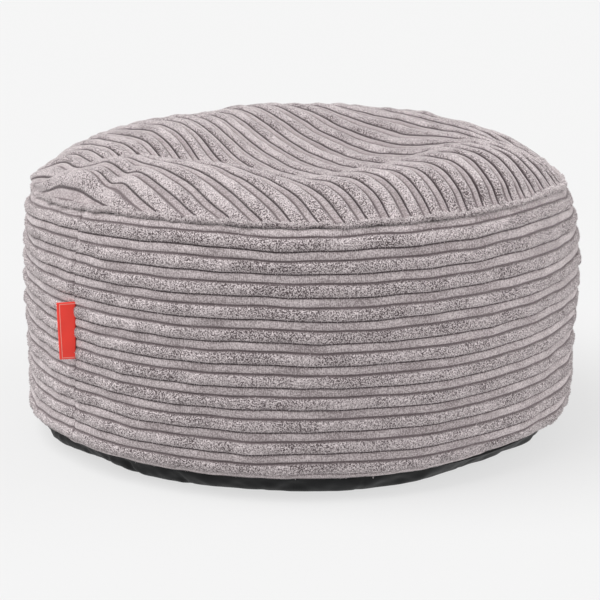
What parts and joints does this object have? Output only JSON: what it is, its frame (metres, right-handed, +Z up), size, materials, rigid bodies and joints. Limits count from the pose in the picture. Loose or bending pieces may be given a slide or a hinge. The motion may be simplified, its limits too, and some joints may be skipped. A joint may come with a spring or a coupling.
{
  "type": "corduroy ottoman",
  "caption": "Round filled ottoman in wide-wale corduroy with a puffed, sat-in top, an upright joining seam, a small side tab and a dark base cloth.",
  "frame": {"origin": "middle of the base, on the surface that the ottoman stands on", "axes": "+Z up, -Y towards the front, +X to the right"},
  "size_m": [0.5004, 0.4996, 0.2635],
  "materials": {
    "mink_cord": "jumbo corduroy, wide fluffy wales between narrow smoother ones, matt with a soft sheen along the pile",
    "charcoal_cloth": "smooth close-woven base cloth, matt",
    "red_tab": "folded woven ribbon, plain, with a thin pale border line"
  },
  "bodies": {
    "root": {"side_band": "mink_cord", "top_panel": "mink_cord", "base_panel": "charcoal_cloth", "label": "red_tab"}
  },
  "joints": []
}
